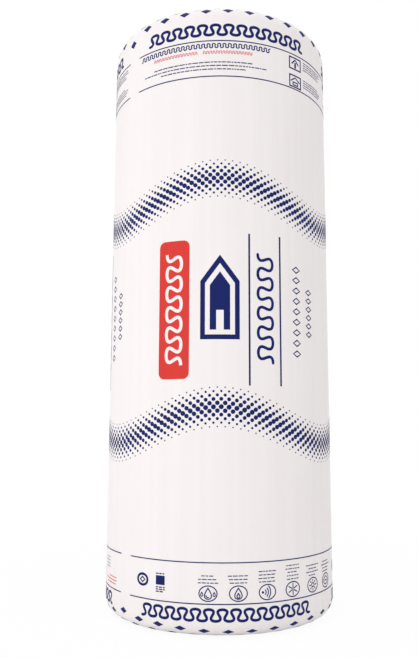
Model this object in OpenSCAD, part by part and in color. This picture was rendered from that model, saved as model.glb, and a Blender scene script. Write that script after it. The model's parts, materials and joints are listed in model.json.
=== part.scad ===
// Roll of glass wool felt in a printed film sleeve, standing on one end.
// The felt is wound round a small eye and pressed tight. The sleeve goes round
// its side and soft shoulders and folds in over both ends, where a round opening
// leaves the turns of the felt in view. The axis is +Z, the floor is at z = 0.

/* [Felt] */
// Width of the felt, which is the length of the roll
felt_width = 1200; // [600:10:1250]
// Diameter of the felt roll
felt_diameter = 464; // [400:4:560]
// Thickness of one turn of felt, pressed in the roll
turn_thickness = 15; // [12:0.5:24]
// Diameter of the eye where the winding starts
eye_diameter = 40; // [24:2:60]
// Radius of the shoulder between the side and each end
shoulder_radius = 32; // [20:1:44]

/* [Spiral on the ends] */
// Width of the valley between two turns, at the end face
valley_width = 8; // [4:0.5:10]
// Depth of the valley between two turns
valley_depth = 7; // [3:0.5:12]

/* [Film sleeve] */
// Thickness of the film, as many layers as are wound on
film_thickness = 0.3; // [0.2:0.1:1]
// Gap between the felt and the film
film_clearance = 0.1; // [0.05:0.05:0.3]
// Diameter of the opening that the folded film leaves in each end
opening_diameter = 250; // [180:5:300]

/* [Hidden] */
$fn = 96;

// How far every cut runs past the face that it opens
overrun = 2;
// How far outside the eye the step of the felt's leading edge starts
edge_start = 3;

// The felt stands inside the sleeve, this far above the floor
sleeve_wall = film_thickness + film_clearance;
felt_r = felt_diameter / 2;
eye_r = eye_diameter / 2;

// The sleeve follows the felt from the outside
film_inner_r = felt_r + film_clearance;
film_inner_length = felt_width + 2 * film_clearance;
film_inner_shoulder = shoulder_radius + film_clearance;
film_r = film_inner_r + film_thickness;
film_length = film_inner_length + 2 * film_thickness;
film_shoulder = film_inner_shoulder + film_thickness;
opening_r = opening_diameter / 2;

// The spiral is drawn as half circles about two centres, half a turn apart.
// Each half circle is wider than the last by half a turn.
half_turn = turn_thickness / 2;
first_valley_r = eye_r + turn_thickness;
last_valley_r = felt_r - shoulder_radius - valley_width / 2 - half_turn;
half_turns = floor((last_valley_r - first_valley_r) / half_turn);

// The valley's section, carried on past the end face at the same slope
valley_top = valley_width / 2 * (valley_depth + overrun) / valley_depth;
valley_section = [[-valley_top, overrun], [0, -valley_depth], [valley_top, overrun]];

// Half section of a barrel that stands on the X axis and has rounded shoulders
module barrel_section(radius, length, shoulder) {
    square([radius - shoulder, length]);
    translate([0, shoulder]) square([radius, length - 2 * shoulder]);
    for (height = [shoulder, length - shoulder])
        translate([radius - shoulder, height]) circle(shoulder);
}

// One half circle of the valley between two turns, on the face z = 0
module half_turn_valley(step) {
    odd = step % 2;
    translate([odd * half_turn, 0, 0])
        rotate([0, 0, odd * 180])
            rotate_extrude(angle = 180)
                translate([first_valley_r + step * half_turn, 0]) polygon(valley_section);
}

// The step in the eye's rim, on the face z = 0, where the felt's leading edge lies.
// Its half circle runs from just outside the eye to the start of the first valley.
module leading_edge() {
    start_r = eye_r + edge_start;
    translate([(first_valley_r - start_r) / 2, 0, 0])
        rotate([0, 0, 180])
            rotate_extrude(angle = 180)
                translate([0, -valley_depth])
                    square([(first_valley_r + start_r) / 2, valley_depth + overrun]);
}

// How the turns show on one end: the valley from the eye out to the shoulder
module end_spiral() {
    leading_edge();
    for (step = [0 : half_turns]) half_turn_valley(step);
}

// The felt: one turned solid with its eye, and its turns shown on both ends
module wool_roll() {
    color("#e2cd8a")
        translate([0, 0, sleeve_wall])
            difference() {
                rotate_extrude() barrel_section(felt_r, felt_width, shoulder_radius);
                translate([0, 0, -overrun]) cylinder(r = eye_r, h = felt_width + 2 * overrun);
                translate([0, 0, felt_width]) end_spiral();
                mirror([0, 0, 1]) end_spiral();
            }
}

// The film: side, shoulders and the two folded ends in one thin wall
module film_sleeve() {
    color("#f5f0ef")
        rotate_extrude()
            difference() {
                barrel_section(film_r, film_length, film_shoulder);
                translate([0, film_thickness])
                    barrel_section(film_inner_r, film_inner_length, film_inner_shoulder);
                translate([-overrun, -overrun])
                    square([opening_r + overrun, film_length + 2 * overrun]);
            }
}

wool_roll();
film_sleeve();
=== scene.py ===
# Insulation roll: a felt wound up tight in a printed film, standing on its end
import json
import math
import random
from bisect import bisect_right

import bmesh
import bpy
from mathutils import Euler, Matrix, Vector, noise


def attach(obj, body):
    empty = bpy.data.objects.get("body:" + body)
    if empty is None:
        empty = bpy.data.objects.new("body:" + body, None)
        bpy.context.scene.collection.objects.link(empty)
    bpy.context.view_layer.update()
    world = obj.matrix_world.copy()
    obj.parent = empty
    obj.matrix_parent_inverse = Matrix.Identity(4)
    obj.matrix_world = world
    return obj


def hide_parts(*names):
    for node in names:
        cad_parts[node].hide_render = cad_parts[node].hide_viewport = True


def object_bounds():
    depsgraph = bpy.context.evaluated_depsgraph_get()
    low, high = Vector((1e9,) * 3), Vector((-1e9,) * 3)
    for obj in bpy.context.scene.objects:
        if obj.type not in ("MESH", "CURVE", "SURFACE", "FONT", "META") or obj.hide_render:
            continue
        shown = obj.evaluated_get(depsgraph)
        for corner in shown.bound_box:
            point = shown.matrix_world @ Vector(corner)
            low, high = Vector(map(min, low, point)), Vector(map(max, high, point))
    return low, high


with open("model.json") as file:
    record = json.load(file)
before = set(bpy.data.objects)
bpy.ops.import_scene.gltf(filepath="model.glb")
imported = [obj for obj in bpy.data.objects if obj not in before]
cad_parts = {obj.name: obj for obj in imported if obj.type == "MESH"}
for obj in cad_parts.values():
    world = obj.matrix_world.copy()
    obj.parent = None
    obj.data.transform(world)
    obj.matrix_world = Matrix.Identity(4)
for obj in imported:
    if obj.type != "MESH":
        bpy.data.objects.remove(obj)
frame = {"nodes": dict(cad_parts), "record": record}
cadLow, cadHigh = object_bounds()
mm = 0.001
hair = 0.01 * mm
print("frame loaded")

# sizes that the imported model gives
sleevePoints = [v.co for v in frame["nodes"]["film_sleeve"].data.vertices]
rollTop = cadHigh.z
filmRadius = max(math.hypot(p.x, p.y) for p in sleevePoints)
flatRadius = max(math.hypot(p.x, p.y) for p in sleevePoints if p.z > rollTop - hair)
lipRadius = min(math.hypot(p.x, p.y) for p in sleevePoints)
shoulder = filmRadius - flatRadius
shoulderRun = shoulder * math.pi / 2
foldRun = flatRadius - lipRadius
girth = 2 * math.pi * filmRadius
mounts = {m["name"]: m for m in frame["record"]["mounts"]}
eyeRadius = mounts["eye"]["dims"]["r_mm"] * mm


def smooth(value, low, high):
    # from nought at low to one at high, level at both
    share = min(max((value - low) / (high - low), 0), 1)
    return share * share * (3 - 2 * share)


def mixedNoise(spot, waves):
    # noise of several scales and shares
    return sum(share * noise.noise(spot * scale) for scale, share in waves)


def editMode():
    bpy.ops.object.mode_set(mode="EDIT")


def objectMode():
    bpy.ops.object.mode_set(mode="OBJECT")


def pickNone():
    bpy.ops.object.select_all(action="DESELECT")


def pickOnly(obj):
    pickNone()
    obj.select_set(True)
    bpy.context.view_layer.objects.active = obj


def openAll(obj):
    # edit mode with everything picked
    pickOnly(obj)
    editMode()
    bpy.ops.mesh.select_all(action="SELECT")


def applyAll(obj):
    pickOnly(obj)
    for modifier in list(obj.modifiers):
        bpy.ops.object.modifier_apply(modifier=modifier.name)


def thicken(obj, thickness, side, smoothAngle):
    # a wall on one side of a bent sheet: 1 is outwards and -1 inwards
    wall = obj.modifiers.new("wall", "SOLIDIFY")
    wall.thickness = thickness
    wall.offset = side
    applyAll(obj)
    bpy.ops.object.shade_smooth_by_angle(angle=smoothAngle)


# camera, at the photograph's viewing angle
view = {
    "place": (0, -1.5427, 0.3692),
    "lens": 39.08,  # on a 36 mm sensor
    "pitch": 7.812,  # looks up a little
    "yaw": 0.841,  # and a little to the left
    "roll": 0.178,
}


def addCamera():
    pickNone()
    bpy.ops.object.camera_add(location=view["place"])
    camera = bpy.context.object
    aim = Euler((math.radians(90 + view["pitch"]), 0, math.radians(view["yaw"]))).to_matrix()
    aim = aim @ Matrix.Rotation(math.radians(view["roll"]), 3, "Z")
    camera.rotation_euler = aim.to_euler()
    camera.data.lens = view["lens"]
    bpy.context.scene.camera = camera


addCamera()
print("camera set")


# film: a flat sheet, rolled once round the felt with a lap and gathered over both ends
film = {
    "thickness": 0.3 * mm,
    "pleats": 46,
    "pleatColumns": 10,
    "pleatWidths": (0.45, 1.1),  # the least, and the most that is added to it
    "pleatHeight": 5.5 * mm,
    "heightShares": (0.3, 0.8),
    "pleatSink": 1.2 * mm,
    "pleatStart": 28 * mm,  # how far past the side the gathers begin
    "peakShare": 0.6,
    "overhangShares": (0.1, 0.46),  # least and most of a pleat's width, folded over at the lip
    "pleatTurn": math.radians(7),  # how far the gathers lean at the lip
    "crease": 0.9 * mm,
    "creaseScales": (26, 9),  # round the roll and along the profile
    "pressedShare": 0.4,  # of the gathers' height left on the lower end
    "pressedCrest": 1.2,  # of a gather's height, which lies level there
    "lipWander": 9 * mm,
    "lipWaves": ((2.3, 1), (6.1, 0.5), (15, 0.5)),  # scale and share
    "lipSpots": (3, 7),  # where the noise is read, for each lip
    "lipCurl": 3 * mm,
    "curlShape": (6, 0.6, 4.2),  # power, mean, and scale of the noise
    "lapPleats": 2,
    "lapLift": 0.5 * mm,
    "lapRamp": math.radians(16),
    "seam": math.radians(-49),  # the sheet's outer edge
    "footLift": 0.8 * mm,  # drawn in at the foot, so that the lap and the ink stay above the floor
    "wave": 0.35 * mm,
    "waves": ((1.6, 3.1, 1), (6, 2.3, 0.35)),  # scale round and up the roll, and share
    "rows": (20, 10, 22),  # on a folded end, a shoulder and the side
    "smoothAngle": math.radians(50),
    "seed": 11,
}


def pleatEdges():
    draw = random.Random(film["seed"])
    least, more = film["pleatWidths"]
    widths = [least + draw.random() * more for _ in range(film["pleats"])]
    scale = 2 * math.pi / sum(widths)
    edges = [0]
    for width in widths:
        edges.append(edges[-1] + width * scale)
    least, more = film["heightShares"]
    heights = [least + draw.random() * more for _ in widths]
    overhangs = [draw.uniform(*film["overhangShares"]) for _ in widths]
    return [film["seam"] + edge for edge in edges], heights, overhangs


edges, pleatHeights, pleatOverhangs = pleatEdges()
lapAngle = edges[film["lapPleats"]] - edges[0]


def tentAt(angle):
    # which gather an angle falls in, and how near it is to that gather's crest
    turned = edges[0] + (angle - edges[0]) % (2 * math.pi)
    number = min(max(bisect_right(edges, turned) - 1, 0), film["pleats"] - 1)
    across = (turned - edges[number]) / (edges[number + 1] - edges[number])
    peak = film["peakShare"]
    return number, across / peak if across < peak else (1 - across) / (1 - peak)


def grownAt(past):
    # the gathers grow from the shoulder to the lip
    return smooth(past, film["pleatStart"], shoulderRun + foldRun)


def lapOf(angle):
    ahead = (angle - film["seam"]) % (2 * math.pi)
    return film["lapLift"] * (1 - smooth(ahead, lapAngle, lapAngle + film["lapRamp"]))


def waveOf(angle, climb):
    wave = 0
    for around, up, share in film["waves"]:
        spot = Vector((math.sin(angle) * around, -math.cos(angle) * around, climb * up))
        wave += share * noise.noise(spot)
    return film["wave"] * wave


def pastSide(climb):
    # how far along its profile the film is past the straight side
    return max(climb - (rollTop - shoulder), shoulder - climb, 0)


def filmPlace(angle, climb, lift):
    # angle from the front, climb along the profile, lift off the smooth sleeve
    past = pastSide(climb)
    if past == 0:
        out, height = filmRadius + lift, climb
    else:
        upper = climb > rollTop / 2
        arc = min(past / shoulder, math.pi / 2)
        inward = max(past - shoulderRun, 0)
        out = flatRadius + (shoulder + lift) * math.cos(arc) - inward
        rise = (shoulder + lift) * math.sin(arc)
        height = rollTop - shoulder + rise if upper else shoulder - rise
    return Vector((out * math.sin(angle), -out * math.cos(angle), height))


def filmRelief(angle, climb):
    # gathers and soft waves; the lower end is pressed flat by the floor
    past = pastSide(climb)
    wave = waveOf(angle, climb) * (1 - smooth(past, 0, shoulderRun))
    number, tent = tentAt(angle)
    grown = grownAt(past)
    around, inward = film["creaseScales"]
    crease = film["crease"] * noise.noise(Vector((angle * around, past * inward, number)))
    crest = film["pleatHeight"] * pleatHeights[number] * smooth(tent, 0, 1) + crease
    if climb > rollTop / 2:
        return wave + grown * (crest - film["pleatSink"])
    level = film["pleatHeight"] * film["pressedCrest"]
    wave *= 1 - smooth(past, 0, shoulderRun / 2)
    wave -= film["footLift"] * smooth(past, 0, shoulderRun)
    return wave - grown * film["pressedShare"] * (level - crest)


def filmVertex(column, climb):
    turn, step = divmod(column, film["pleatColumns"])
    pleat = turn % film["pleats"]
    width = edges[pleat + 1] - edges[pleat]
    angle = edges[pleat] + 2 * math.pi * (turn // film["pleats"]) + width * step / film["pleatColumns"]
    past = pastSide(climb)
    foldShare = max(past - shoulderRun, 0) / foldRun
    top = climb > rollTop / 2
    # the lip wanders in and out
    upperSpot, lowerSpot = film["lipSpots"]
    ring = Vector((math.sin(angle), -math.cos(angle), upperSpot if top else lowerSpot))
    reach = film["lipWander"] * mixedNoise(ring, film["lipWaves"]) * foldShare ** 2
    climb += reach if top else -reach
    lift = filmRelief(angle, climb)
    if turn < film["pleats"]:
        lift += lapOf(angle)
    if top:
        power, mean, scale = film["curlShape"]
        lift += film["lipCurl"] * foldShare ** power * (mean + noise.noise(ring * scale))
    # each gather folds over a little, and all of them lean the same way
    number, tent = tentAt(angle)
    overhang = pleatOverhangs[number] * width * tent ** 2
    angle += grownAt(past) * (overhang + film["pleatTurn"] * foldShare)
    return filmPlace(angle, climb, lift)


def rowClimbs():
    # rows of the sheet, close together where it is gathered
    lowSide, highSide = shoulder, rollTop - shoulder
    lowLip = lowSide - shoulderRun - foldRun
    highLip = highSide + shoulderRun + foldRun
    stops = [lowLip, lowSide - shoulderRun, lowSide, highSide, highSide + shoulderRun, highLip]
    fold, rounded, side = film["rows"]
    climbs = []
    for low, high, count in zip(stops, stops[1:], (fold, rounded, side, rounded, fold)):
        climbs += [low + (high - low) * i / count for i in range(count)]
    return climbs + [highLip]


def makeFilm():
    climbs = rowClimbs()
    columns = (film["pleats"] + film["lapPleats"]) * film["pleatColumns"]
    pickNone()
    bpy.ops.mesh.primitive_grid_add(x_subdivisions=columns, y_subdivisions=len(climbs) - 1, size=1)
    piece = bpy.context.object
    piece.name = "film"
    for v in piece.data.vertices:
        column = round((v.co.x + 0.5) * columns)
        row = round((v.co.y + 0.5) * (len(climbs) - 1))
        v.co = filmVertex(column, climbs[row])
    thicken(piece, film["thickness"], -1, film["smoothAngle"])
    return piece


filmPiece = makeFilm()
print("film rolled", len(filmPiece.data.polygons), "faces")


# print: drawn flat, in millimetres from the middle of the front, and repeated three times round
art = {
    "bandRepeats": (474, 968),  # how far along the sheet the motifs come again
    "centreRepeats": (474, 1022),
    "lift": 0.12 * mm,  # off the film, so that they never touch
    "body": 0.15 * mm,
    "smoothAngle": math.radians(30),
    "cell": 6,  # the widest ink that is left straight
    "tallCell": 24,
    "shoulderCell": 3,
    "crumb": 0.002,  # what a cut leaves is dissolved if it is smaller
    "ringSides": 40,
    "arcSteps": 16,
    "ribbonCells": 4,  # across a ribbon
    "loopPeriod": 1.232,  # in heights of a loop
    "loopSteps": 36,
    "fineWeight": 2,  # of the bars in a fine row
    "fineLeast": 3,
    "fineMost": 12,
    "fineGap": 1.7,
    "seed": 5,
}
third = girth / 3 / mm
drawArt = random.Random(art["seed"])


def drawFlat(name, *drawings):
    # a flat mesh that the drawings fill
    pickNone()
    bpy.ops.object.add(type="MESH")
    piece = bpy.context.object
    piece.name = name
    editMode()
    for drawing in drawings:
        drawing()
    objectMode()
    return piece


def addBar(x, y, width, height):
    across = max(1, math.ceil(width / art["cell"]))
    up = max(1, math.ceil(height / art["tallCell"]))
    bpy.ops.mesh.primitive_grid_add(x_subdivisions=across, y_subdivisions=up, size=1, location=(x, y, 0))
    bpy.ops.transform.resize(value=(width, height, 1), center_override=(x, y, 0))


def addRound(x, y, width, height, sides):
    bpy.ops.mesh.primitive_circle_add(vertices=sides, radius=0.5, fill_type="NGON", location=(x, y, 0))
    bpy.ops.transform.resize(value=(width, height, 1), center_override=(x, y, 0))


def addRing(x, y, width, height, weight, sides=art["ringSides"]):
    bpy.ops.mesh.primitive_circle_add(vertices=sides, radius=0.5, location=(x, y, 0))
    bpy.ops.transform.resize(value=(width, height, 1), center_override=(x, y, 0))
    bpy.ops.mesh.extrude_edges_move()
    inner = (1 - 2 * weight / width, 1 - 2 * weight / height, 1)
    bpy.ops.transform.resize(value=inner, center_override=(x, y, 0))


def addFrame(x, y, width, height, weight):
    for side in (-1, 1):
        addBar(x, y + side * (height - weight) / 2, width, weight)
        addBar(x + side * (width - weight) / 2, y, weight, height - 2 * weight)


def addRibbon(points, weight):
    # a strip of even cells along a path, rounded at its ends
    steps = len(points) - 1
    bpy.ops.mesh.primitive_grid_add(x_subdivisions=steps, y_subdivisions=art["ribbonCells"], size=1)
    flat = bmesh.from_edit_mesh(bpy.context.object.data)
    for v in flat.verts:
        if not v.select:
            continue
        i = round((v.co.x + 0.5) * steps)
        across = v.co.y * weight
        along = (Vector(points[min(i + 1, steps)]) - Vector(points[max(i - 1, 0)])).normalized()
        bulge = math.sqrt(max(weight * weight / 4 - across * across, 0)) * ((i == steps) - (i == 0))
        x = points[i][0] - along.y * across + along.x * bulge
        y = points[i][1] + along.x * across + along.y * bulge
        v.co = (x, y, 0)
    bmesh.update_edit_mesh(bpy.context.object.data)


def addPeak(x, y, half, rise, weight):
    # a bent line with its peak in the middle
    addRibbon([(x + half * i / 2, y + rise * (2 - abs(i)) / 2) for i in range(-2, 3)], weight)


def loopPath(length, height, period, lean, steps):
    # the drawn sign for quilted felt: a line that swings up and down and leans back
    halves = round(length / period * 2)
    last = halves * steps // 2
    path = []
    for i in range(last + 1):
        t = 2 * math.pi * i / steps - math.pi / 2
        path.append((length * i / last - lean * math.sin(2 * t), height / 2 * math.sin(t)))
    return path


def addLoops(x, y, length, height, weight, lean, steps=art["loopSteps"], upright=False):
    # centred on a point, along the sheet or up it
    period = art["loopPeriod"] * (height - weight)
    path = loopPath(length - weight, height - weight, period, lean, steps)
    half = (length - weight) / 2
    addRibbon([(x - b, y - half + a) if upright else (x - half + a, y + b) for a, b in path], weight)


def addFineRow(start, end, y, weight=art["fineWeight"], longest=art["fineMost"]):
    # short bars of uneven length, with small gaps
    least = art["fineLeast"]
    x = start
    while x < end - least:
        width = min(least + drawArt.random() * (longest - least), end - x)
        addBar(x + width / 2, y, width, weight)
        x += width + art["fineGap"]


def circlePath(x, y, radius, start, end, steps=art["arcSteps"]):
    angles = [math.radians(start + (end - start) * i / steps) for i in range(steps + 1)]
    return [(x + radius * math.cos(a), y + radius * math.sin(a)) for a in angles]


# marks: plain signs in round frames
marks = {
    "frame": (34, 28),
    "weight": 1.9,
    "rows": (12, 8, 18, 1.6, 9),  # half length and what is added, start, weight, longest bar
    "rowStep": 6,
    "dropShape": (0.62, 1.4, 0.35),  # fullness, power of the taper, gap at the tip
    "dropSteps": 28,
    "leafSteps": 16,
}


def addStroke(path, share=1):
    addRibbon(path, marks["weight"] * share)


def addArc(x, y, radius, start, end):
    addStroke(circlePath(x, y, radius, start, end))


def addDrop(x, y, width, height, share=1):
    # the tip is up, and open by a little
    fullness, power, gap = marks["dropShape"]
    path = []
    for i in range(marks["dropSteps"] + 1):
        t = 2 * math.pi * (i + gap) / (marks["dropSteps"] + 2 * gap)
        out = width * fullness * math.sin(t) * math.sin(t / 2) ** power
        path.append((x + out, y + height / 2 * math.cos(t)))
    addStroke(path, share)


def addRays(x, y, count, turned, near, far):
    for turn in range(count):
        a = math.radians(360 / count * turn + turned)
        start = (x + near[0] * math.cos(a), y + near[1] * math.sin(a))
        end = (x + far[0] * math.cos(a), y + far[1] * math.sin(a))
        addStroke([start, end])


def addLeaf(x, y, half, gap, bulge, vein):
    for side in (-1, 1):
        blade = []
        for i in range(marks["leafSteps"] + 1):
            t = i / marks["leafSteps"]
            rise = gap + bulge * math.sin(math.pi * t)
            blade.append((x - half + 2 * half * t, y + side * rise))
        addStroke(blade)
    addStroke([(x - vein, y), (x, y), (x + vein, y)])


# what a sign is drawn with, how far right and up of the frame's middle, and at what sizes
signs = {
    "drop": (
        (addDrop, 0, 0, 14, 19),
        (addArc, 0, -3, 3.6, 185, 285),
        *((addDrop, aside, -1, 4.4, 7, 0.8) for aside in (-11, 11)),
    ),
    "flame": ((addDrop, 0, 0, 15, 19), (addDrop, 0, -3.5, 6, 8)),
    "sound": (
        (addRound, -9, 0, 4.4, 4.4, 12),
        *((addArc, -9, 0, radius, -42, 42) for radius in (6, 10.5, 15)),
    ),
    "frost": ((addRays, 0, 0, 6, 30, (2.2, 2.2), (11, 10)),),
    "sun": (
        (addRing, 0, 0, 10, 9, marks["weight"], 24),
        (addRays, 0, 0, 8, 0, (7.2, 6.6), (11, 9.8)),
    ),
    "leaf": ((addLeaf, 0, 0, 11, 1, 6.4, 6),),
}


def addMark(x, y, sign, rows):
    # a sign in a round frame, with short rows of bars over it
    addRing(x, y, *marks["frame"], marks["weight"])
    for draw, right, up, *sizes in signs[sign]:
        draw(x + right, y + up, *sizes)
    least, more, start, weight, longest = marks["rows"]
    for row in range(rows):
        half = least + more * drawArt.random()
        addFineRow(x - half, x + half, y + start + marks["rowStep"] * row, weight, longest)


# titles and thin lines, along the whole sheet
titles = {
    "middles": (18, 463, 1038),
    # how far up the sheet, length, height, weight and lean
    "head": (1142.3, 345, 27, 5.9, 5),
    "foot": (41.4, 340, 24.5, 4.8, 5),
    "lineEnds": (-182.5, 1245),
    "lines": ((1119.8, 2.15), (1046, 2.15), (130.6, 1.9), (60, 1.9)),  # how far up, and weight
}


def drawTitles():
    low, high = titles["lineEnds"]
    for y, weight in titles["lines"]:
        addBar((low + high) / 2, y, high - low, weight)
    for x in titles["middles"]:
        addLoops(x, *titles["head"])
        addLoops(x, *titles["foot"])


# head band: under the upper title
headBand = {
    "loops": (-35, 1109.4, 279, 10.8, 2.3, 1.4, 20),  # place, length, height, weight, lean and steps
    "fineRows": ((-139, 67, 1075.2), (-164, 97, 1068), (-122, 51, 1060.8)),  # from, to and how far up
    "frameMiddle": 167.3,
    "frameHeights": (1100.7, 1062.6),
    "frame": (34.6, 27, 2.8),  # width, height and weight
    # rows beside a frame: count, from, to, left off at most, first one over the middle, step, weight
    "beside": (4, 192, 268, 14, 11, 5, 1.6),
    # an arrow up in one frame and a house in the other
    "stem": (1097, 4.6, 12),  # how far up, width and height
    "point": (1100, 9, 9, 3),  # how far up, half its width, rise and weight
    "roof": (1062.6, 12, 8, 2.6),
    "walls": (1057.4, 16, 8, 2.3),  # how far up, width, height and weight
    "redRows": ((-92, 1095.8, 98), (16, 1095.8, 100)),  # place and length
    "redLoops": (6.4, 1.15, 0.8, 16),  # height, weight, lean and steps
}


def drawHeadBand():
    addLoops(*headBand["loops"])
    for row in headBand["fineRows"]:
        addFineRow(*row)
    x = headBand["frameMiddle"]
    rows, start, end, off, first, step, weight = headBand["beside"]
    for y in headBand["frameHeights"]:
        addFrame(x, y, *headBand["frame"])
        for row in range(rows):
            addFineRow(start, end - off * drawArt.random(), y + first - step * row, weight)
    addBar(x, *headBand["stem"])
    addPeak(x, *headBand["point"])
    addPeak(x, *headBand["roof"])
    addFrame(x, *headBand["walls"])


def drawRedRows():
    for row in headBand["redRows"]:
        addLoops(*row, *headBand["redLoops"])


# foot band: over the lower title
footBand = {
    "badge": (-149.7, 93.2),
    "badgeRing": (27.5, 23.5, 4.3),
    "badgeDiamond": (14, 12, 3),
    "block": (-109.9, 95.5, 18.3, 16),  # place, width and height
    "blockRows": (107, 83.4, 79.6, 75.8),
    "blockEnds": (-119, -100.5),
    "rowLongest": 8,
    "markHeight": 78,
    # place, sign and rows of bars over it
    "marks": ((-19.7, "drop", 3), (34.3, "flame", 3), (88.6, "sound", 4), (143.2, "frost", 5)),
    "lastMarks": ((198.3, "sun", 4), (251.5, "leaf", 4)),
    # the last repeat ends in rows of bars instead of signs: their end, lengths, start and weight
    "navyEnd": (1190, (32, 26, 34, 28), 97, 1.1),
    "redEnd": (1228, (54, 62, 40), 70, 1.7),
}


def drawMarks(name):
    for x, sign, rows in footBand[name]:
        addMark(x, footBand["markHeight"], sign, rows)


def drawFootBand():
    addRing(*footBand["badge"], *footBand["badgeRing"])
    addRing(*footBand["badge"], *footBand["badgeDiamond"], sides=4)
    addBar(*footBand["block"])
    for y in footBand["blockRows"]:
        addFineRow(*footBand["blockEnds"], y, longest=footBand["rowLongest"])
    drawMarks("marks")


def drawEnd(name):
    end, lengths, y, weight = footBand[name]
    for row, length in enumerate(lengths):
        addFineRow(end - length, end, y + marks["rowStep"] * row, weight, footBand["rowLongest"])


# centre: lines, loops, columns of diamonds, a panel and a house
centre = {
    "lineMiddles": (56.6, 120.9),
    "line": (588.5, 3.4, 287),  # how far up, width and height
    "loops": (88.7, 590.5, 211, 36, 5.6, 6),  # place, length, height, weight and lean
    "columns": ((161.5, 498, 682, 22), (198, 540, 640, 20)),  # place, from, to, width of a diamond
    "spacing": 0.9,  # of a diamond's width
    "flatness": 0.66,
    "weight": 2.9,
    "panelPlace": (-88, 588.5),
    "panelBox": (62, 263, 12),  # width, height and radius of the corners
    "cornerSteps": 8,
    "panelLoops": (212, 30, 6.5, 8, 40),  # length, height, weight, lean and period
    "houseMiddle": 1,
    # half the width, eaves, ridge and foot of each outline, from the outside in
    "houseWalls": ((37, 640, 690, 530), (28, 636, 674, 539), (19, 632, 658, 548)),
    "door": (7, 585),  # half its width, and its top
}


def drawCentre():
    for x in centre["lineMiddles"]:
        addBar(x, *centre["line"])
    addLoops(*centre["loops"], upright=True)
    for x, low, high, size in centre["columns"]:
        count = round((high - low) / (size * centre["spacing"]))
        for i in range(count):
            y = low + (i + 0.5) * (high - low) / count
            addRing(x, y, size, size * centre["flatness"], centre["weight"], sides=4)


def addOutlines(name, outlines):
    # filled shapes; an outline inside another is a hole
    curve = bpy.data.curves.new(name, "CURVE")
    curve.dimensions = "2D"
    curve.fill_mode = "BOTH"
    for outline in outlines:
        spline = curve.splines.new("POLY")
        spline.points.add(len(outline) - 1)
        spline.use_cyclic_u = True
        for point, (x, y) in zip(spline.points, outline):
            point.co = (x, y, 0, 1)
    piece = bpy.data.objects.new(name, curve)
    bpy.context.scene.collection.objects.link(piece)
    pickOnly(piece)
    bpy.ops.object.convert(target="MESH")
    return bpy.context.object


def roundedBox(x, y, width, height, radius):
    outline = []
    for sideX, sideY, start in ((1, 1, 0), (-1, 1, 90), (-1, -1, 180), (1, -1, 270)):
        corner = (x + sideX * (width / 2 - radius), y + sideY * (height / 2 - radius))
        outline += circlePath(*corner, radius, start, start + 90, centre["cornerSteps"])
    return outline


def ribbonOutline(points, weight):
    left, right = [], []
    for i, (x, y) in enumerate(points):
        after = Vector(points[min(i + 1, len(points) - 1)])
        along = (after - Vector(points[max(i - 1, 0)])).normalized()
        left.append((x - along.y * weight / 2, y + along.x * weight / 2))
        right.append((x + along.y * weight / 2, y - along.x * weight / 2))
    return left + right[::-1]


def makePanel():
    x, y = centre["panelPlace"]
    length, height, weight, lean, period = centre["panelLoops"]
    path = loopPath(length, height, period, lean, art["loopSteps"])
    loops = ribbonOutline([(x - b, y - length / 2 + a) for a, b in path], weight)
    return addOutlines("panel", [roundedBox(x, y, *centre["panelBox"]), loops])


def makeHouse():
    x = centre["houseMiddle"]
    walls = []
    for half, eaves, ridge, foot in centre["houseWalls"]:
        walls.append([(x - half, eaves), (x, ridge), (x + half, eaves), (x + half, foot), (x - half, foot)])
    # the door is cut into the foot of the innermost
    half, top = centre["door"]
    walls[-1][-1:-1] = [(x + half, foot), (x + half, top), (x - half, top), (x - half, foot)]
    return addOutlines("house", walls)


# diamonds: two staggered rows round each shoulder
diamonds = {
    "count": 33,
    "start": 16.8,
    "width": 22.5,
    "between": 20,
    "wave": 13,  # the film isn't drawn in alike all round, so the rows swing three times
    "tuckPlace": 1255,  # under the lap, where the sheet was tucked in askew
    "tuckReach": 15,
    # how far up the sheet, height of a diamond, where the row swings out, its part of the tuck
    "upper": (1188.4, 16.5, 25, 17),
    "lower": (9.2, 11.5, 40, 7),
}


def drawDiamonds():
    step = girth / mm / diamonds["count"]
    for name, outward in (("upper", 1), ("lower", -1)):
        y, height, crest, tuck = diamonds[name]
        for i in range(2 * diamonds["count"]):
            x = diamonds["start"] + i * step / 2
            inward = diamonds["wave"] * (1 - math.cos(2 * math.pi * (x - crest) / third)) / 2
            inward += tuck * math.exp(-((x - diamonds["tuckPlace"]) / diamonds["tuckReach"]) ** 2)
            off = diamonds["between"] * (i % 2) - inward
            addRound(x, y + outward * off, diamonds["width"], height, sides=4)


def cutFlat(piece, stepX, stepY, bands=None):
    # upright cuts, and level ones in bands or all over, so that the sheet can bend
    places = [v.co.copy() for v in piece.data.vertices]
    lowX, highX = min(p.x for p in places), max(p.x for p in places)
    if bands is None:
        bands = [(min(p.y for p in places), max(p.y for p in places))]
    cuts = [((lowX + i * stepX, 0, 0), (1, 0, 0)) for i in range(1, math.ceil((highX - lowX) / stepX))]
    for low, high in bands:
        cuts += [((0, low + i * stepY, 0), (0, 1, 0)) for i in range(math.ceil((high - low) / stepY))]
    openAll(piece)
    for place, across in cuts:
        bpy.ops.mesh.bisect(plane_co=place, plane_no=across)
        bpy.ops.mesh.select_all(action="SELECT")
    bpy.ops.mesh.dissolve_degenerate(threshold=art["crumb"])
    objectMode()


def joinFlat(name, pieces):
    pickOnly(pieces[0])
    for piece in pieces:
        piece.select_set(True)
    bpy.ops.object.join()
    pieces[0].name = pieces[0].data.name = name
    return pieces[0]


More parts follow.
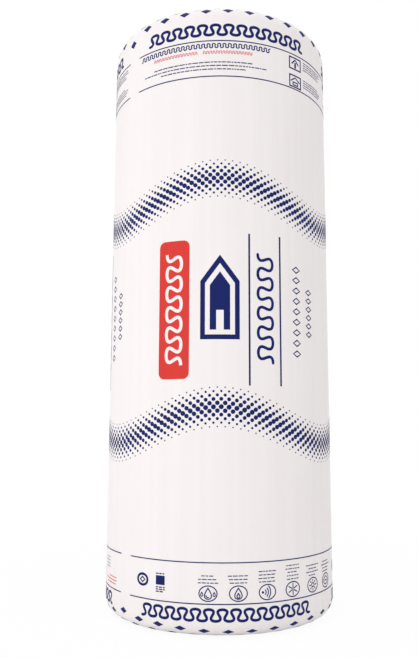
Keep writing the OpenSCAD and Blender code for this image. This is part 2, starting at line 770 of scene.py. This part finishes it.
def repeatFlat(piece, shifts):
    # copies of a drawing along the sheet
    copies = []
    for shift in shifts:
        pickOnly(piece)
        bpy.ops.object.duplicate()
        bpy.ops.transform.translate(value=(shift, 0, 0))
        bpy.ops.object.transform_apply()
        copies.append(bpy.context.object)
    return joinFlat(piece.name, [piece] + copies)


def wrapFlat(piece):
    # bent on to the film and given its thickness
    pickOnly(piece)
    for face in piece.data.polygons:
        face.select = face.normal.z < 0
    editMode()
    bpy.context.tool_settings.mesh_select_mode = (False, False, True)
    bpy.ops.mesh.flip_normals()
    objectMode()
    near = art["cell"] * mm / filmRadius
    for v in piece.data.vertices:
        angle = v.co.x * mm / filmRadius
        climb = v.co.y * mm
        lap = max(lapOf(angle + side * near) for side in (-1, 0, 1))
        v.co = filmPlace(angle, climb, filmRelief(angle, climb) + lap + art["lift"])
    thicken(piece, art["body"], 1, art["smoothAngle"])
    return piece


def makeNavy():
    bands = repeatFlat(drawFlat("bands", drawHeadBand, drawFootBand), art["bandRepeats"])
    middle = drawFlat("middle", drawCentre)
    house = makeHouse()
    cutFlat(house, art["cell"], art["tallCell"])
    middle = repeatFlat(joinFlat("middle", [middle, house]), art["centreRepeats"])
    lastMarks = repeatFlat(drawFlat("last", lambda: drawMarks("lastMarks")), art["bandRepeats"][:1])
    lines = drawFlat("lines", drawTitles, lambda: drawEnd("navyEnd"))
    edging = drawFlat("edging", drawDiamonds)
    reaches = []
    for y, height, *_ in (diamonds["lower"], diamonds["upper"]):
        reach = diamonds["between"] + height  # more than the rows swing
        reaches.append((y - reach, y + reach))
    cutFlat(edging, art["cell"], art["shoulderCell"], reaches)
    return wrapFlat(joinFlat("print_navy", [bands, middle, lastMarks, lines, edging]))


def makeRed():
    rows = repeatFlat(drawFlat("rows", drawRedRows), art["bandRepeats"])
    panel = makePanel()
    cutFlat(panel, art["cell"], art["tallCell"])
    panel = repeatFlat(panel, art["centreRepeats"])
    foot = drawFlat("foot", lambda: drawEnd("redEnd"))
    return wrapFlat(joinFlat("print_red", [rows, panel, foot]))


# dots: two bands that swing up and down as they go round, thick in the middle and fine at the edges
dots = {
    "columns": 68,  # in a third of the sheet
    "bands": (806, 372),
    "swing": 34,
    "reach": 46,
    "largest": 9.6,
    "smallest": 1.6,
    "fade": 1.3,
    "sides": 8,
}


def drawDots():
    step = third / dots["columns"]
    rows = math.ceil(dots["reach"] / (2 * step))
    for band in dots["bands"]:
        for column in range(dots["columns"]):
            x = -third / 2 + (column + 0.5) * step
            y = band + dots["swing"] * math.cos(2 * math.pi * x / third)
            for row in range(-rows, rows + 1):
                off = (row + 0.5 * (column % 2)) * 2 * step
                share = min(abs(off) / dots["reach"], 1)
                size = dots["largest"] * (1 - share ** dots["fade"])
                if size > dots["smallest"]:
                    addRound(x, y + off, size, size, dots["sides"])


navyPiece = makeNavy()
redPiece = makeRed()
dotsPiece = wrapFlat(repeatFlat(drawFlat("print_dots", drawDots), (third, 2 * third)))
print("print drawn", [len(p.data.polygons) for p in (navyPiece, redPiece, dotsPiece)], "faces")


# wool: the felt's edge is a long strip, wound into a spiral from the eye outwards
wool = {
    "pitch": 15 * mm,
    "turns": 12,
    "turnSteps": 216,
    "acrossCells": 16,
    "valley": 7 * mm,
    "crestPower": 0.32,
    "lastFade": 0.6,  # of a turn, in which the last valley runs out
    "fray": 1.5 * mm,
    "frayShares": (0.6, 0.5),  # even and uneven
    "clumps": ((45, 1), (110, 0.6), (260, 0.4)),  # scale and share
    "layers": 1.9 * mm,  # how far the felt's layers stand apart
    "layerWaves": ((4, 7.5, 3, 1), (30, 9, 8, 0.5)),  # scale along and across, spot and share
    "underFilm": 4.5 * mm,  # how far the film presses it down
    "pressReach": (45 * mm, 13 * mm),  # inside the lip
    "filmGap": 1.8 * mm,
    "rimMargin": 1 * mm,
    "shoulderSteps": 8,
    "below": 0.6 * mm,  # the crests lie this far below the film's end
    "weld": 0.02 * mm,
    "smoothAngle": math.radians(60),
}


def woolHeight(turn, across, radius, angle):
    arch = math.sin(math.pi * min(max(across, 0), 1))
    valley = wool["valley"] * (1 - arch ** wool["crestPower"])
    valley *= 1 - smooth(turn + across, wool["turns"] - wool["lastFade"], wool["turns"])
    spot = Vector((math.cos(angle) * radius, math.sin(angle) * radius, 0))
    even, uneven = wool["frayShares"]
    fray = wool["fray"] * (even + uneven * mixedNoise(spot, wool["clumps"]))
    # two neighbours meet in the valley, so the layers end there
    layer = 0
    for along, over, level, share in wool["layerWaves"]:
        layer += share * noise.noise(Vector((turn * along, across * over, level)))
    fray += wool["layers"] * layer * arch
    start, full = wool["pressReach"]
    press = wool["underFilm"] * smooth(radius, lipRadius - start, lipRadius - full)
    return rollTop - wool["below"] - valley - max(fray, 0) - press


def pickBoundary(piece, low, high):
    # open edges whose ends lie between two distances from the axis
    pickOnly(piece)
    editMode()
    bpy.context.tool_settings.mesh_select_mode = (False, True, False)
    bpy.ops.mesh.select_non_manifold(
        extend=False, use_wire=False, use_multi_face=False, use_non_contiguous=False, use_verts=False
    )
    objectMode()
    places = piece.data.vertices
    for edge in piece.data.edges:
        if edge.select:
            edge.select = all(low < places[i].co.xy.length < high for i in edge.vertices)
    kept = {i for edge in piece.data.edges if edge.select for i in edge.vertices}
    for v in places:
        v.select = v.index in kept
    editMode()


def runToMiddle():
    # a straight wall from the picked edges to half the roll's height
    bpy.ops.mesh.extrude_edges_move()
    bpy.ops.transform.resize(value=(1, 1, 0), center_override=(0, 0, 0))
    objectMode()


def closeEye(piece):
    pickBoundary(piece, 0, eyeRadius + wool["pitch"] + wool["rimMargin"])
    runToMiddle()


def closeSide(piece, middle):
    # the outer turns, hidden by the film: a round rim, the shoulder and the side
    lastTurn = eyeRadius + (wool["turns"] - 0.5) * wool["pitch"]
    pickBoundary(piece, lastTurn, filmRadius)
    bpy.ops.mesh.extrude_edges_move()
    objectMode()
    within = shoulder - wool["filmGap"]
    sideHeight = rollTop - middle - shoulder
    lastRadius = eyeRadius + (wool["turns"] + 1) * wool["pitch"] + wool["rimMargin"]
    rimArc = math.acos((lastRadius - flatRadius) / within)
    lastHeight = sideHeight + within * math.sin(rimArc)
    for v in piece.data.vertices:
        if v.select:
            v.co = v.co.xy.normalized().to_3d() * lastRadius + Vector((0, 0, lastHeight))
    editMode()
    bpy.ops.mesh.remove_doubles(threshold=wool["weld"])
    for step in range(1, wool["shoulderSteps"] + 1):
        arc = rimArc * (1 - step / wool["shoulderSteps"])
        radius = flatRadius + within * math.cos(arc)
        height = sideHeight + within * math.sin(arc)
        bpy.ops.mesh.extrude_edges_move(TRANSFORM_OT_translate={"value": (0, 0, height - lastHeight)})
        grow = radius / lastRadius
        bpy.ops.transform.resize(value=(grow, grow, 1), center_override=(0, 0, height))
        lastRadius, lastHeight = radius, height
    runToMiddle()


def makeWool():
    steps = wool["turns"] * wool["turnSteps"]
    pickNone()
    bpy.ops.mesh.primitive_grid_add(x_subdivisions=steps, y_subdivisions=wool["acrossCells"], size=1)
    piece = bpy.context.object
    piece.name = "wool"
    middle = rollTop / 2
    for v in piece.data.vertices:
        turn = (v.co.x + 0.5) * wool["turns"]
        across = v.co.y + 0.5
        radius = eyeRadius + (turn + across) * wool["pitch"]
        angle = 2 * math.pi * turn
        height = woolHeight(turn, across, radius, angle)
        v.co = (radius * math.cos(angle), radius * math.sin(angle), height - middle)
    openAll(piece)
    bpy.ops.mesh.remove_doubles(threshold=wool["weld"])
    objectMode()
    closeEye(piece)
    closeSide(piece, middle)
    # the lower half is wound on the same path
    other = piece.modifiers.new("lower half", "MIRROR")
    other.use_axis = (False, False, True)
    other.merge_threshold = wool["weld"]
    applyAll(piece)
    openAll(piece)
    bpy.ops.mesh.normals_make_consistent(inside=False)
    bpy.ops.transform.translate(value=(0, 0, middle))
    objectMode()
    bpy.ops.object.shade_smooth_by_angle(angle=wool["smoothAngle"])
    return piece


woolPiece = makeWool()
print("wool wound", len(woolPiece.data.polygons), "faces")

# strands: loose fibres on the felt's edge, each a thin closed tube that lies from tuft to tuft
strands = {
    "count": 900,  # on each end
    "length": (9 * mm, 32 * mm),
    "thickness": 0.26 * mm,
    "sides": 3,
    "stray": 28,  # degrees off the turn's own direction
    "bow": 0.12,  # of the length, to one side
    "bowMiddle": 0.6,  # of the bow, on the strand's own line
    "rise": 2.2 * mm,
    "flatRise": 0.3 * mm,  # on the lower end
    "root": 0.3 * mm,
    "floorGap": 0.2 * mm,
    "steps": 7,
    "seed": 3,
}


def feltTop(x, y):
    # height of the felt's upper edge over a point
    radius = math.hypot(x, y)
    share = math.atan2(y, x) / (2 * math.pi) % 1
    wound = (radius - eyeRadius) / wool["pitch"]
    turn = math.floor(wound - share) + share
    return woolHeight(turn, wound - turn, radius, 2 * math.pi * share)


def strandSpots(draw):
    # where a strand lies, seen from above
    radius = math.sqrt(draw.uniform((eyeRadius + wool["pitch"] / 2) ** 2, lipRadius ** 2))
    angle = draw.uniform(0, 2 * math.pi)
    middle = Vector((math.cos(angle), math.sin(angle))) * radius
    heading = angle + math.pi / 2 + math.radians(draw.gauss(0, strands["stray"]))
    along = Vector((math.cos(heading), math.sin(heading)))
    beside = along.orthogonal()
    length = draw.uniform(*strands["length"])
    bow = length * strands["bow"] * draw.gauss(0, 1)
    spots = []
    for i in range(strands["steps"] + 1):
        t = i / strands["steps"]
        aside = math.sin(math.pi * t) - strands["bowMiddle"]
        spot = middle + along * length * (t - 0.5) + beside * bow * aside
        spots.append(spot * max(1, (eyeRadius + wool["pitch"]) / spot.length))
    return spots


def strandPath(draw, upper):
    spots = strandSpots(draw)
    rise = draw.random() * (strands["rise"] if upper else strands["flatRise"])
    tops = [feltTop(*spot) for spot in spots]
    points = []
    for i, spot in enumerate(spots):
        t = i / strands["steps"]
        z = tops[0] + (tops[-1] - tops[0]) * t + rise * math.sin(math.pi * t)
        z = max(z, tops[i])
        if i in (0, strands["steps"]):
            z -= strands["root"]
        points.append(Vector((*spot, z if upper else max(rollTop - z, strands["floorGap"]))))
    return points


def makeStrands():
    # one straight strand, copied in a row
    pickNone()
    radius = strands["thickness"] / 2
    bpy.ops.mesh.primitive_circle_add(vertices=strands["sides"], radius=radius, fill_type="NGON")
    piece = bpy.context.object
    piece.name = piece.data.name = "wool_strands"
    openAll(piece)
    for _ in range(strands["steps"]):
        bpy.ops.mesh.extrude_region_move(TRANSFORM_OT_translate={"value": (0, 0, mm)})
    objectMode()
    row = piece.modifiers.new("row", "ARRAY")
    row.use_relative_offset = False
    row.use_constant_offset = True
    row.constant_offset_displace = (mm, 0, 0)
    row.count = 2 * strands["count"]
    applyAll(piece)
    # then each is laid on the felt, by turns on the upper and the lower end
    draw = random.Random(strands["seed"])
    paths = [strandPath(draw, number % 2 == 0) for number in range(2 * strands["count"])]
    for v in piece.data.vertices:
        number, step = round(v.co.x / mm), round(v.co.z / mm)
        path = paths[number]
        along = path[min(step + 1, strands["steps"])] - path[max(step - 1, 0)]
        side = along.cross(Vector((0, 0, 1))).normalized()
        over = along.cross(side).normalized()
        v.co = path[step] + side * (v.co.x - number * mm) + over * v.co.y
    openAll(piece)
    bpy.ops.mesh.normals_make_consistent(inside=False)
    objectMode()
    bpy.ops.object.shade_smooth()
    return piece


strandPiece = makeStrands()
print("strands laid", len(strandPiece.data.polygons), "faces")

# finishes
finish = {
    "filmWhite": (0.885, 0.842, 0.84),
    "filmShade": (0.855, 0.81, 0.806),
    "navy": (0.0078, 0.0165, 0.127),
    "navyShade": 0.9,  # of the ink, where it is darkest
    "red": (0.70, 0.0455, 0.037),
    "redShade": 0.94,
    "straw": (0.76, 0.57, 0.21),
    "honey": (0.47, 0.30, 0.08),
    "cream": (0.88, 0.75, 0.44),
    "filmGloss": 0.12,
    "inkGloss": 0.1,
}


def newMaterial(name):
    material = bpy.data.materials.new(name)
    material.use_nodes = True
    return material, material.node_tree, material.node_tree.nodes["Principled BSDF"]


def fillInputs(tree, node, inputs):
    # each input is linked to a socket or given a value
    for name, value in inputs.items():
        if isinstance(value, bpy.types.NodeSocket):
            tree.links.new(value, node.inputs[name])
        else:
            node.inputs[name].default_value = value


def addNode(tree, kind, inputs, **settings):
    node = tree.nodes.new("ShaderNode" + kind)
    for name, value in settings.items():
        setattr(node, name, value)
    fillInputs(tree, node, inputs)
    return node.outputs


def addPlace(tree):
    return addNode(tree, "TexCoord", {})["Object"]


def addNoise(tree, vector, scale, detail):
    # with one scale for all directions, or one for each
    if isinstance(scale, tuple):
        vector = addNode(tree, "Mapping", {"Vector": vector, "Scale": scale})["Vector"]
        scale = 1
    return addNode(tree, "TexNoise", {"Vector": vector, "Scale": scale, "Detail": detail})["Fac"]


def addRange(tree, value, fromLow, fromHigh, toLow, toHigh):
    limits = {"From Min": fromLow, "From Max": fromHigh, "To Min": toLow, "To Max": toHigh}
    return addNode(tree, "MapRange", {"Value": value, **limits})["Result"]


def addMath(tree, operation, *values):
    return addNode(tree, "Math", dict(enumerate(values)), operation=operation)[0]


def addVector(tree, operation, vector, output):
    return addNode(tree, "VectorMath", {0: vector}, operation=operation)[output]


def addTint(tree, share, colourLow, colourHigh):
    inputs = {"Factor": share, "A": (*colourLow, 1), "B": (*colourHigh, 1)}
    return addNode(tree, "Mix", inputs, data_type="RGBA")["Result"]


def addBump(tree, height, strength, distance):
    inputs = {"Height": height, "Strength": strength, "Distance": distance}
    return addNode(tree, "Bump", inputs)["Normal"]


# satin: the surface of blown film, with cloudy gloss and faint streaks up its length
satin = {
    "cloud": (7, 3),  # scale and detail
    "streak": ((64, 64, 1.2), 3),
    "grain": ((160, 160, 420), 3),
    "cloudTone": (0.3, 0.7, 0, 0.35),  # from low and high, to low and high
    "streakTone": (0.36, 0.64, 0, 0.65),
    "roughness": (0.3, 0.7, 0.42, 0.54),
    "grainHeight": 0.35,
    "bump": (0.08, 0.2 * mm),  # strength and distance
}


def satinGroup():
    group = bpy.data.node_groups.new("satinSheet", "ShaderNodeTree")
    for name in ("Tone", "Roughness", "Height"):
        group.interface.new_socket(name, in_out="OUTPUT", socket_type="NodeSocketFloat")
    place = addPlace(group)
    cloud, streak, grain = [addNoise(group, place, *satin[name]) for name in ("cloud", "streak", "grain")]
    cloudTone = addRange(group, cloud, *satin["cloudTone"])
    streakTone = addRange(group, streak, *satin["streakTone"])
    fillInputs(group, group.nodes.new("NodeGroupOutput"), {
        "Tone": addMath(group, "ADD", cloudTone, streakTone),
        "Roughness": addRange(group, grain, *satin["roughness"]),
        "Height": addMath(group, "MULTIPLY_ADD", grain, satin["grainHeight"], streak),
    })
    return group


satinSheet = satinGroup()


def printMaterial(name, colourLow, colourHigh, gloss):
    # film and inks share the satin surface
    material, tree, shader = newMaterial(name)
    sheet = addNode(tree, "Group", {}, node_tree=satinSheet)
    fillInputs(tree, shader, {
        "Base Color": addTint(tree, sheet["Tone"], colourLow, colourHigh),
        "Roughness": sheet["Roughness"],
        "Specular IOR Level": gloss,
        "Normal": addBump(tree, sheet["Height"], *satin["bump"]),
    })
    return material


def inkMaterial(ink):
    darker = [c * finish[ink + "Shade"] for c in finish[ink]]
    return printMaterial(ink + "Ink", darker, finish[ink], finish["inkGloss"])


filmMaterial = printMaterial("filmWhite", finish["filmShade"], finish["filmWhite"], finish["filmGloss"])
navyMaterial = inkMaterial("navy")
redMaterial = inkMaterial("red")

# felt: the fibres lie along the turns, so the pattern is drawn out round the axis
felt = {
    "gloss": 0.15,
    "roughness": 0.95,
    "depth": 0.17,  # down the eye's wall the pattern changes with the height instead
    "fibre": ((14, 14, 2400), 6),
    "layer": ((5, 5, 520), 4),
    "clump": (420, 4),
    "fibreTone": (0, 1, 0, 0.6),
    "layerTone": (0, 1, 0, 0.4),
    "clumpTone": (0, 1, -0.14, 0.14),
    "stops": (0.3, 0.5, 0.72),  # of honey, straw and cream
    "bump": (0.9, 0.8 * mm),
    "strandRoughness": 0.4,
    "strand": (70, 2),
    "strandTone": (0.35, 0.65, 0, 1),
}


def addFeltTone(tree, name, vector):
    return addRange(tree, addNoise(tree, vector, *felt[name]), *felt[name + "Tone"])


def addFeltTones(tree):
    place = addPlace(tree)
    split = addNode(tree, "SeparateXYZ", {"Vector": place})
    flat = addNode(tree, "CombineXYZ", {"X": split["X"], "Y": split["Y"]})["Vector"]
    radius = addVector(tree, "LENGTH", flat, "Value")
    depth = addMath(tree, "MULTIPLY_ADD", split["Z"], felt["depth"], radius)
    turned = addNode(tree, "SeparateXYZ", {"Vector": addVector(tree, "NORMALIZE", flat, "Vector")})
    wound = addNode(tree, "CombineXYZ", {"X": turned["X"], "Y": turned["Y"], "Z": depth})["Vector"]
    drawnOut = addMath(tree, "ADD", addFeltTone(tree, "fibre", wound), addFeltTone(tree, "layer", wound))
    return addMath(tree, "ADD", addFeltTone(tree, "clump", place), drawnOut)


def woolMaterial():
    material, tree, shader = newMaterial("glassWool")
    tones = addFeltTones(tree)
    ramp = tree.nodes.new("ShaderNodeValToRGB")
    stops = ramp.color_ramp.elements
    low, middle, high = felt["stops"]
    stops[0].position, stops[0].color = low, (*finish["honey"], 1)
    stops[1].position, stops[1].color = high, (*finish["cream"], 1)
    stops.new(middle).color = (*finish["straw"], 1)
    fillInputs(tree, ramp, {"Fac": tones})
    fillInputs(tree, shader, {
        "Base Color": ramp.outputs["Color"],
        "Roughness": felt["roughness"],
        "Specular IOR Level": felt["gloss"],
        "Normal": addBump(tree, tones, *felt["bump"]),
    })
    return material


def strandMaterial():
    material, tree, shader = newMaterial("glassFibre")
    tone = addFeltTone(tree, "strand", addPlace(tree))
    fillInputs(tree, shader, {
        "Base Color": addTint(tree, tone, finish["straw"], finish["cream"]),
        "Roughness": felt["strandRoughness"],
    })
    return material


strawMaterial = woolMaterial()
fibreMaterial = strandMaterial()
print("finishes made")


# studio: white floor and surround, soft light from the left
studio = {
    "white": (1, 1, 1, 1),
    "floorSize": 16,
    "floorDrop": 0.05 * mm,
    "floorColour": (0.95, 0.95, 0.95, 1),
    "floorWhite": 0.93,  # share of the floor's white that no shadow takes away
    "shadowReach": (0.5, 2.2),  # where the rest of that share fades in
    "ambient": 0.81,
    # place, size and power of each lamp
    "key": ((-1.85, -2.4, 0.62), 2.2, 22.6),
    "side": ((-3.0, 0.3, 0.8), 2.0, 4.5),
    "above": ((0.3, -0.6, 6.0), 4.0, 66),
}


def seenDirectly(tree):
    # one for what the camera sees, straight or in gloss or glass
    rays = addNode(tree, "LightPath", {})
    seen = addMath(tree, "MAXIMUM", rays["Is Camera Ray"], rays["Is Glossy Ray"])
    return addMath(tree, "MAXIMUM", seen, rays["Is Transmission Ray"])


def mixShaders(tree, share, first, second, output):
    mix = addNode(tree, "MixShader", {"Fac": share, 1: first, 2: second})[0]
    fillInputs(tree, tree.nodes[output], {"Surface": mix})


def addFloor():
    pickNone()
    bpy.ops.mesh.primitive_plane_add(size=studio["floorSize"], location=(0, 0, -studio["floorDrop"]))
    floor = bpy.context.object
    floor.name = "floor"
    material, tree, shader = newMaterial("paleFloor")
    tree.nodes.remove(shader)
    matt = addNode(tree, "BsdfDiffuse", {"Color": studio["floorColour"]})[0]
    white = addNode(tree, "Emission", {"Color": studio["white"]})[0]
    away = addVector(tree, "LENGTH", addPlace(tree), "Value")
    whiteShare = addRange(tree, away, *studio["shadowReach"], studio["floorWhite"], 1)
    share = addMath(tree, "MULTIPLY", seenDirectly(tree), whiteShare)
    mixShaders(tree, share, matt, white, "Material Output")
    floor.data.materials.append(material)


def addWorld():
    world = bpy.data.worlds.new("studio")
    world.use_nodes = True
    bpy.context.scene.world = world
    tree = world.node_tree
    ambient = tree.nodes["Background"]
    fillInputs(tree, ambient, {"Color": studio["white"], "Strength": studio["ambient"]})
    white = addNode(tree, "Background", {"Color": studio["white"], "Strength": 1})[0]
    mixShaders(tree, seenDirectly(tree), ambient.outputs[0], white, "World Output")


def addLamp(name, place, size, power):
    pickNone()
    bpy.ops.object.light_add(type="AREA", location=place)
    lamp = bpy.context.object
    lamp.name = name
    lamp.data.size = size
    lamp.data.energy = power
    lamp.visible_camera = False
    aim = Vector((0, 0, rollTop / 2)) - Vector(place)
    lamp.rotation_euler = aim.to_track_quat("-Z", "Y").to_euler()


addFloor()
addWorld()
for lamp in ("key", "side", "above"):
    addLamp(lamp, *studio[lamp])
bpy.context.scene.view_settings.view_transform = "Standard"
print("studio lit")


def settle(piece, material):
    piece.data.materials.clear()
    piece.data.materials.append(material)
    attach(piece, "root")


settle(filmPiece, filmMaterial)
settle(navyPiece, navyMaterial)
settle(redPiece, redMaterial)
settle(dotsPiece, navyMaterial)
settle(woolPiece, strawMaterial)
settle(strandPiece, fibreMaterial)
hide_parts("film_sleeve")
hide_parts("wool_roll")
